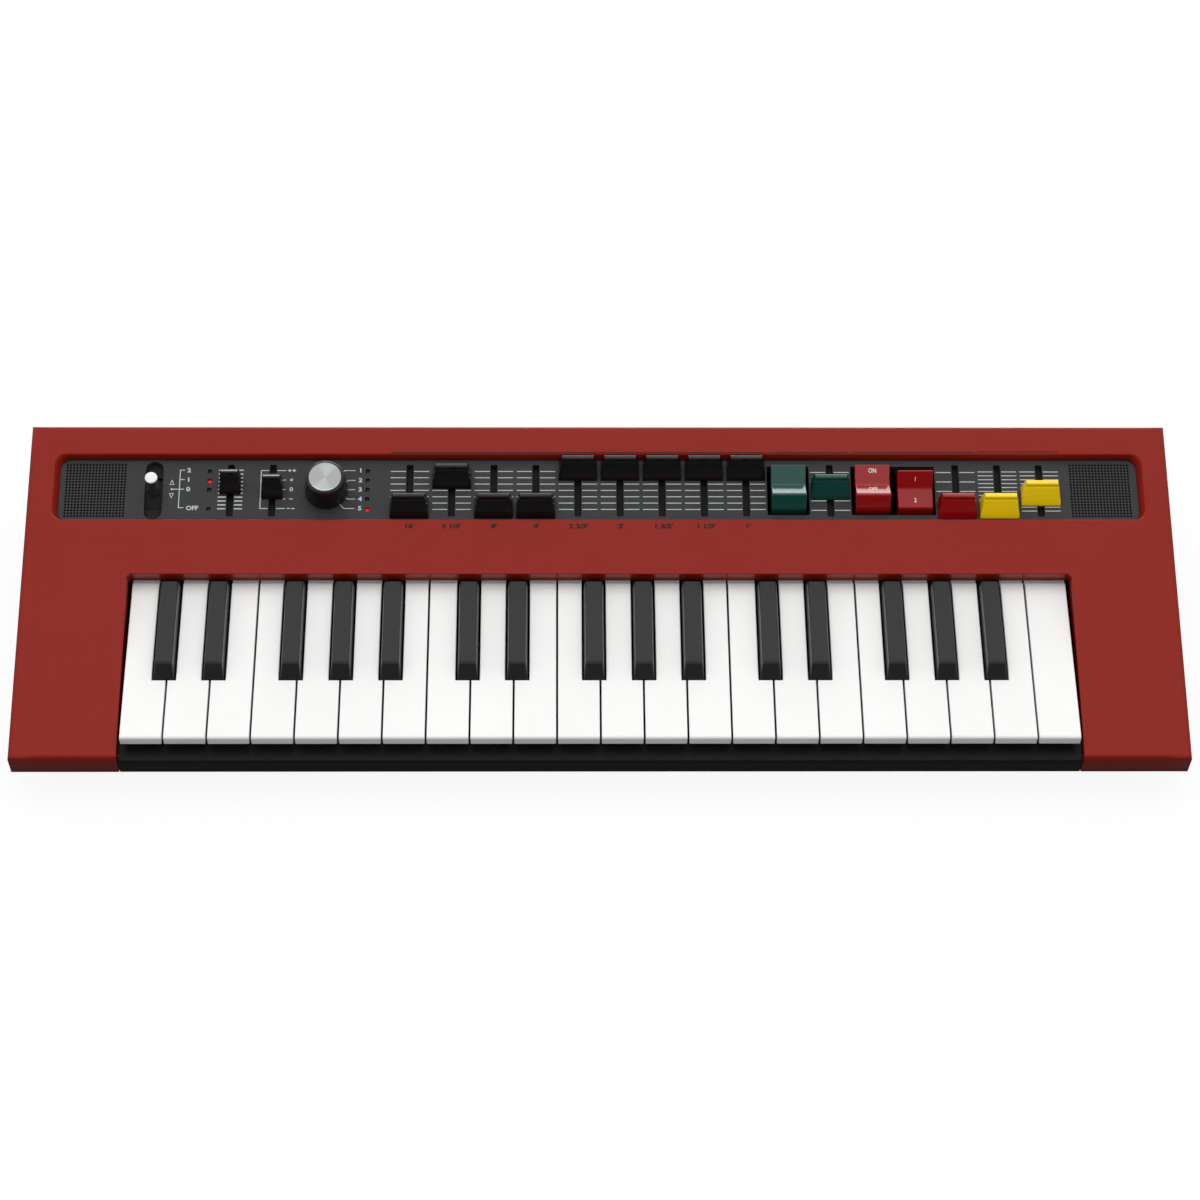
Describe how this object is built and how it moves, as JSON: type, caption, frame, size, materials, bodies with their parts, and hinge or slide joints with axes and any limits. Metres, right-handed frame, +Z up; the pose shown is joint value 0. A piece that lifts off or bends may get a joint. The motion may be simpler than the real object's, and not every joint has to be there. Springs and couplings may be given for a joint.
{
  "type": "combo organ",
  "caption": "Compact combo organ with mini keys, a sloping red top case, a black base and a sunk panel of sliders, rockers, a knob and a lever.",
  "frame": {"origin": "centre of the footprint at table level", "axes": "+X to the player's right along the keyboard, +Y to the rear, +Z up"},
  "size_m": [0.53, 0.1748, 0.06],
  "materials": {
    "case_red": "glossy moulded plastic, deep red",
    "case_black": "satin moulded plastic, black",
    "panel_grey": "matt plastic, dark grey",
    "key_white": "smooth moulded plastic, white",
    "key_black": "satin moulded plastic, black",
    "control_black": "satin moulded plastic, black",
    "control_green": "satin moulded plastic, dark green",
    "control_red": "satin moulded plastic, red",
    "control_yellow": "satin moulded plastic, yellow",
    "knob_black": "moulded plastic, black, with an aluminium disc",
    "lever_black": "polished black rod with a white top"
  },
  "bodies": {
    "root": {"bottom_case": "case_black", "top_case": "case_red", "control_panel": "panel_grey"},
    "white_key_01": {"white_key_01": "key_white"},
    "white_key_02": {"white_key_02": "key_white"},
    "white_key_03": {"white_key_03": "key_white"},
    "white_key_04": {"white_key_04": "key_white"},
    "white_key_05": {"white_key_05": "key_white"},
    "white_key_06": {"white_key_06": "key_white"},
    "white_key_07": {"white_key_07": "key_white"},
    "white_key_08": {"white_key_08": "key_white"},
    "white_key_09": {"white_key_09": "key_white"},
    "white_key_10": {"white_key_10": "key_white"},
    "white_key_11": {"white_key_11": "key_white"},
    "white_key_12": {"white_key_12": "key_white"},
    "white_key_13": {"white_key_13": "key_white"},
    "white_key_14": {"white_key_14": "key_white"},
    "white_key_15": {"white_key_15": "key_white"},
    "white_key_16": {"white_key_16": "key_white"},
    "white_key_17": {"white_key_17": "key_white"},
    "white_key_18": {"white_key_18": "key_white"},
    "white_key_19": {"white_key_19": "key_white"},
    "white_key_20": {"white_key_20": "key_white"},
    "white_key_21": {"white_key_21": "key_white"},
    "white_key_22": {"white_key_22": "key_white"},
    "black_key_01": {"black_key_01": "key_black"},
    "black_key_02": {"black_key_02": "key_black"},
    "black_key_03": {"black_key_03": "key_black"},
    "black_key_04": {"black_key_04": "key_black"},
    "black_key_05": {"black_key_05": "key_black"},
    "black_key_06": {"black_key_06": "key_black"},
    "black_key_07": {"black_key_07": "key_black"},
    "black_key_08": {"black_key_08": "key_black"},
    "black_key_09": {"black_key_09": "key_black"},
    "black_key_10": {"black_key_10": "key_black"},
    "black_key_11": {"black_key_11": "key_black"},
    "black_key_12": {"black_key_12": "key_black"},
    "black_key_13": {"black_key_13": "key_black"},
    "black_key_14": {"black_key_14": "key_black"},
    "black_key_15": {"black_key_15": "key_black"},
    "volume_slider": {"volume_slider": "control_black"},
    "octave_slider": {"octave_slider": "control_black"},
    "footage_slider_1": {"footage_slider_1": "control_black"},
    "footage_slider_2": {"footage_slider_2": "control_black"},
    "footage_slider_3": {"footage_slider_3": "control_black"},
    "footage_slider_4": {"footage_slider_4": "control_black"},
    "footage_slider_5": {"footage_slider_5": "control_black"},
    "footage_slider_6": {"footage_slider_6": "control_black"},
    "footage_slider_7": {"footage_slider_7": "control_black"},
    "footage_slider_8": {"footage_slider_8": "control_black"},
    "footage_slider_9": {"footage_slider_9": "control_black"},
    "depth_slider": {"depth_slider": "control_green"},
    "length_slider": {"length_slider": "control_red"},
    "distortion_slider": {"distortion_slider": "control_yellow"},
    "reverb_slider": {"reverb_slider": "control_yellow"},
    "wave_knob": {"wave_knob": "knob_black"},
    "rotary_speed_lever": {"rotary_speed_lever": "lever_black"},
    "vibrato_chorus_rocker": {"vibrato_chorus_rocker": "control_green"},
    "percussion_rocker": {"percussion_rocker": "control_red"},
    "percussion_type_rocker": {"percussion_type_rocker": "control_red"}
  },
  "joints": [
    {"name": "white_key_01_hinge", "type": "hinge", "parent": "root", "child": "white_key_01", "pos_m": [-0.20549, 0.02367, 0.0268], "axis": [1, 0, 0], "range_deg": [0, 2.07], "stiffness_Nm_per_rad": 0.375, "springref_deg": -6.13},
    {"name": "white_key_02_hinge", "type": "hinge", "parent": "root", "child": "white_key_02", "pos_m": [-0.18591, 0.02367, 0.0268], "axis": [1, 0, 0], "range_deg": [0, 2.07], "stiffness_Nm_per_rad": 0.375, "springref_deg": -6.13},
    {"name": "white_key_03_hinge", "type": "hinge", "parent": "root", "child": "white_key_03", "pos_m": [-0.16634, 0.02367, 0.0268], "axis": [1, 0, 0], "range_deg": [0, 2.07], "stiffness_Nm_per_rad": 0.375, "springref_deg": -6.13},
    {"name": "white_key_04_hinge", "type": "hinge", "parent": "root", "child": "white_key_04", "pos_m": [-0.14677, 0.02367, 0.0268], "axis": [1, 0, 0], "range_deg": [0, 2.07], "stiffness_Nm_per_rad": 0.375, "springref_deg": -6.13},
    {"name": "white_key_05_hinge", "type": "hinge", "parent": "root", "child": "white_key_05", "pos_m": [-0.12721, 0.02367, 0.0268], "axis": [1, 0, 0], "range_deg": [0, 2.07], "stiffness_Nm_per_rad": 0.375, "springref_deg": -6.13},
    {"name": "white_key_06_hinge", "type": "hinge", "parent": "root", "child": "white_key_06", "pos_m": [-0.10763, 0.02367, 0.0268], "axis": [1, 0, 0], "range_deg": [0, 2.07], "stiffness_Nm_per_rad": 0.375, "springref_deg": -6.13},
    {"name": "white_key_07_hinge", "type": "hinge", "parent": "root", "child": "white_key_07", "pos_m": [-0.08807, 0.02367, 0.0268], "axis": [1, 0, 0], "range_deg": [0, 2.07], "stiffness_Nm_per_rad": 0.375, "springref_deg": -6.13},
    {"name": "white_key_08_hinge", "type": "hinge", "parent": "root", "child": "white_key_08", "pos_m": [-0.0685, 0.02367, 0.0268], "axis": [1, 0, 0], "range_deg": [0, 2.07], "stiffness_Nm_per_rad": 0.375, "springref_deg": -6.13},
    {"name": "white_key_09_hinge", "type": "hinge", "parent": "root", "child": "white_key_09", "pos_m": [-0.04893, 0.02367, 0.0268], "axis": [1, 0, 0], "range_deg": [0, 2.07], "stiffness_Nm_per_rad": 0.375, "springref_deg": -6.13},
    {"name": "white_key_10_hinge", "type": "hinge", "parent": "root", "child": "white_key_10", "pos_m": [-0.02935, 0.02367, 0.0268], "axis": [1, 0, 0], "range_deg": [0, 2.07], "stiffness_Nm_per_rad": 0.375, "springref_deg": -6.13},
    {"name": "white_key_11_hinge", "type": "hinge", "parent": "root", "child": "white_key_11", "pos_m": [-0.00979, 0.02367, 0.0268], "axis": [1, 0, 0], "range_deg": [0, 2.07], "stiffness_Nm_per_rad": 0.375, "springref_deg": -6.13},
    {"name": "white_key_12_hinge", "type": "hinge", "parent": "root", "child": "white_key_12", "pos_m": [0.00979, 0.02367, 0.0268], "axis": [1, 0, 0], "range_deg": [0, 2.07], "stiffness_Nm_per_rad": 0.375, "springref_deg": -6.13},
    {"name": "white_key_13_hinge", "type": "hinge", "parent": "root", "child": "white_key_13", "pos_m": [0.02935, 0.02367, 0.0268], "axis": [1, 0, 0], "range_deg": [0, 2.07], "stiffness_Nm_per_rad": 0.375, "springref_deg": -6.13},
    {"name": "white_key_14_hinge", "type": "hinge", "parent": "root", "child": "white_key_14", "pos_m": [0.04893, 0.02367, 0.0268], "axis": [1, 0, 0], "range_deg": [0, 2.07], "stiffness_Nm_per_rad": 0.375, "springref_deg": -6.13},
    {"name": "white_key_15_hinge", "type": "hinge", "parent": "root", "child": "white_key_15", "pos_m": [0.0685, 0.02367, 0.0268], "axis": [1, 0, 0], "range_deg": [0, 2.07], "stiffness_Nm_per_rad": 0.375, "springref_deg": -6.13},
    {"name": "white_key_16_hinge", "type": "hinge", "parent": "root", "child": "white_key_16", "pos_m": [0.08807, 0.02367, 0.0268], "axis": [1, 0, 0], "range_deg": [0, 2.07], "stiffness_Nm_per_rad": 0.375, "springref_deg": -6.13},
    {"name": "white_key_17_hinge", "type": "hinge", "parent": "root", "child": "white_key_17", "pos_m": [0.10763, 0.02367, 0.0268], "axis": [1, 0, 0], "range_deg": [0, 2.07], "stiffness_Nm_per_rad": 0.375, "springref_deg": -6.13},
    {"name": "white_key_18_hinge", "type": "hinge", "parent": "root", "child": "white_key_18", "pos_m": [0.12721, 0.02367, 0.0268], "axis": [1, 0, 0], "range_deg": [0, 2.07], "stiffness_Nm_per_rad": 0.375, "springref_deg": -6.13},
    {"name": "white_key_19_hinge", "type": "hinge", "parent": "root", "child": "white_key_19", "pos_m": [0.14677, 0.02367, 0.0268], "axis": [1, 0, 0], "range_deg": [0, 2.07], "stiffness_Nm_per_rad": 0.375, "springref_deg": -6.13},
    {"name": "white_key_20_hinge", "type": "hinge", "parent": "root", "child": "white_key_20", "pos_m": [0.16634, 0.02367, 0.0268], "axis": [1, 0, 0], "range_deg": [0, 2.07], "stiffness_Nm_per_rad": 0.375, "springref_deg": -6.13},
    {"name": "white_key_21_hinge", "type": "hinge", "parent": "root", "child": "white_key_21", "pos_m": [0.18591, 0.02367, 0.0268], "axis": [1, 0, 0], "range_deg": [0, 2.07], "stiffness_Nm_per_rad": 0.375, "springref_deg": -6.13},
    {"name": "white_key_22_hinge", "type": "hinge", "parent": "root", "child": "white_key_22", "pos_m": [0.20549, 0.02367, 0.0268], "axis": [1, 0, 0], "range_deg": [0, 2.07], "stiffness_Nm_per_rad": 0.375, "springref_deg": -6.13},
    {"name": "black_key_01_hinge", "type": "hinge", "parent": "root", "child": "black_key_01", "pos_m": [-0.19699, 0.02367, 0.0268], "axis": [1, 0, 0], "range_deg": [0, 2.07], "stiffness_Nm_per_rad": 0.375, "springref_deg": -6.13},
    {"name": "black_key_02_hinge", "type": "hinge", "parent": "root", "child": "black_key_02", "pos_m": [-0.17458, 0.02367, 0.0268], "axis": [1, 0, 0], "range_deg": [0, 2.07], "stiffness_Nm_per_rad": 0.375, "springref_deg": -6.13},
    {"name": "black_key_03_hinge", "type": "hinge", "parent": "root", "child": "black_key_03", "pos_m": [-0.13979, 0.02367, 0.0268], "axis": [1, 0, 0], "range_deg": [0, 2.07], "stiffness_Nm_per_rad": 0.375, "springref_deg": -6.13},
    {"name": "black_key_04_hinge", "type": "hinge", "parent": "root", "child": "black_key_04", "pos_m": [-0.11722, 0.02367, 0.0268], "axis": [1, 0, 0], "range_deg": [0, 2.07], "stiffness_Nm_per_rad": 0.375, "springref_deg": -6.13},
    {"name": "black_key_05_hinge", "type": "hinge", "parent": "root", "child": "black_key_05", "pos_m": [-0.09478, 0.02367, 0.0268], "axis": [1, 0, 0], "range_deg": [0, 2.07], "stiffness_Nm_per_rad": 0.375, "springref_deg": -6.13},
    {"name": "black_key_06_hinge", "type": "hinge", "parent": "root", "child": "black_key_06", "pos_m": [-0.06, 0.02367, 0.0268], "axis": [1, 0, 0], "range_deg": [0, 2.07], "stiffness_Nm_per_rad": 0.375, "springref_deg": -6.13},
    {"name": "black_key_07_hinge", "type": "hinge", "parent": "root", "child": "black_key_07", "pos_m": [-0.03759, 0.02367, 0.0268], "axis": [1, 0, 0], "range_deg": [0, 2.07], "stiffness_Nm_per_rad": 0.375, "springref_deg": -6.13},
    {"name": "black_key_08_hinge", "type": "hinge", "parent": "root", "child": "black_key_08", "pos_m": [-0.0028, 0.02367, 0.0268], "axis": [1, 0, 0], "range_deg": [0, 2.07], "stiffness_Nm_per_rad": 0.375, "springref_deg": -6.13},
    {"name": "black_key_09_hinge", "type": "hinge", "parent": "root", "child": "black_key_09", "pos_m": [0.01977, 0.02367, 0.0268], "axis": [1, 0, 0], "range_deg": [0, 2.07], "stiffness_Nm_per_rad": 0.375, "springref_deg": -6.13},
    {"name": "black_key_10_hinge", "type": "hinge", "parent": "root", "child": "black_key_10", "pos_m": [0.04221, 0.02367, 0.0268], "axis": [1, 0, 0], "range_deg": [0, 2.07], "stiffness_Nm_per_rad": 0.375, "springref_deg": -6.13},
    {"name": "black_key_11_hinge", "type": "hinge", "parent": "root", "child": "black_key_11", "pos_m": [0.07699, 0.02367, 0.0268], "axis": [1, 0, 0], "range_deg": [0, 2.07], "stiffness_Nm_per_rad": 0.375, "springref_deg": -6.13},
    {"name": "black_key_12_hinge", "type": "hinge", "parent": "root", "child": "black_key_12", "pos_m": [0.0994, 0.02367, 0.0268], "axis": [1, 0, 0], "range_deg": [0, 2.07], "stiffness_Nm_per_rad": 0.375, "springref_deg": -6.13},
    {"name": "black_key_13_hinge", "type": "hinge", "parent": "root", "child": "black_key_13", "pos_m": [0.13419, 0.02367, 0.0268], "axis": [1, 0, 0], "range_deg": [0, 2.07], "stiffness_Nm_per_rad": 0.375, "springref_deg": -6.13},
    {"name": "black_key_14_hinge", "type": "hinge", "parent": "root", "child": "black_key_14", "pos_m": [0.15676, 0.02367, 0.0268], "axis": [1, 0, 0], "range_deg": [0, 2.07], "stiffness_Nm_per_rad": 0.375, "springref_deg": -6.13},
    {"name": "black_key_15_hinge", "type": "hinge", "parent": "root", "child": "black_key_15", "pos_m": [0.1792, 0.02367, 0.0268], "axis": [1, 0, 0], "range_deg": [0, 2.07], "stiffness_Nm_per_rad": 0.375, "springref_deg": -6.13},
    {"name": "volume_slider_slide", "type": "slide", "parent": "root", "child": "volume_slider", "axis": [0, 0.9861, 0.1664], "range_m": [-0.0126, 0.0074]},
    {"name": "octave_slider_slide", "type": "slide", "parent": "root", "child": "octave_slider", "axis": [0, 0.9861, 0.1664], "range_m": [-0.01, 0.01]},
    {"name": "footage_slider_1_slide", "type": "slide", "parent": "root", "child": "footage_slider_1", "axis": [0, 0.9861, 0.1664], "range_m": [0, 0.02]},
    {"name": "footage_slider_2_slide", "type": "slide", "parent": "root", "child": "footage_slider_2", "axis": [0, 0.9861, 0.1664], "range_m": [-0.0156, 0.0044]},
    {"name": "footage_slider_3_slide", "type": "slide", "parent": "root", "child": "footage_slider_3", "axis": [0, 0.9861, 0.1664], "range_m": [0, 0.02]},
    {"name": "footage_slider_4_slide", "type": "slide", "parent": "root", "child": "footage_slider_4", "axis": [0, 0.9861, 0.1664], "range_m": [0, 0.02]},
    {"name": "footage_slider_5_slide", "type": "slide", "parent": "root", "child": "footage_slider_5", "axis": [0, 0.9861, 0.1664], "range_m": [-0.02, 0]},
    {"name": "footage_slider_6_slide", "type": "slide", "parent": "root", "child": "footage_slider_6", "axis": [0, 0.9861, 0.1664], "range_m": [-0.02, 0]},
    {"name": "footage_slider_7_slide", "type": "slide", "parent": "root", "child": "footage_slider_7", "axis": [0, 0.9861, 0.1664], "range_m": [-0.02, 0]},
    {"name": "footage_slider_8_slide", "type": "slide", "parent": "root", "child": "footage_slider_8", "axis": [0, 0.9861, 0.1664], "range_m": [-0.02, 0]},
    {"name": "footage_slider_9_slide", "type": "slide", "parent": "root", "child": "footage_slider_9", "axis": [0, 0.9861, 0.1664], "range_m": [-0.02, 0]},
    {"name": "depth_slider_slide", "type": "slide", "parent": "root", "child": "depth_slider", "axis": [0, 0.9861, 0.1664], "range_m": [-0.01, 0.01]},
    {"name": "length_slider_slide", "type": "slide", "parent": "root", "child": "length_slider", "axis": [0, 0.9861, 0.1664], "range_m": [0, 0.02]},
    {"name": "distortion_slider_slide", "type": "slide", "parent": "root", "child": "distortion_slider", "axis": [0, 0.9861, 0.1664], "range_m": [0, 0.02]},
    {"name": "reverb_slider_slide", "type": "slide", "parent": "root", "child": "reverb_slider", "axis": [0, 0.9861, 0.1664], "range_m": [-0.0068, 0.0132]},
    {"name": "wave_knob_turn", "type": "hinge", "parent": "root", "child": "wave_knob", "pos_m": [-0.12679, 0.04945, 0.04558], "axis": [0, -0.1664, 0.9861], "continuous": true},
    {"name": "rotary_speed_lever_hinge", "type": "hinge", "parent": "root", "child": "rotary_speed_lever", "pos_m": [-0.20706, 0.05178, 0.03177], "axis": [1, 0, 0], "range_deg": [-25, 25], "stiffness_Nm_per_rad": 0.02},
    {"name": "vibrato_chorus_rocker_hinge", "type": "hinge", "parent": "root", "child": "vibrato_chorus_rocker", "pos_m": [0.08794, 0.04962, 0.04459], "axis": [1, 0, 0], "range_deg": [0, 32.8]},
    {"name": "percussion_rocker_hinge", "type": "hinge", "parent": "root", "child": "percussion_rocker", "pos_m": [0.12708, 0.04962, 0.04459], "axis": [1, 0, 0], "range_deg": [0, 32.8]},
    {"name": "percussion_type_rocker_hinge", "type": "hinge", "parent": "root", "child": "percussion_type_rocker", "pos_m": [0.14665, 0.04962, 0.04459], "axis": [1, 0, 0], "range_deg": [-32.8, 0]}
  ]
}
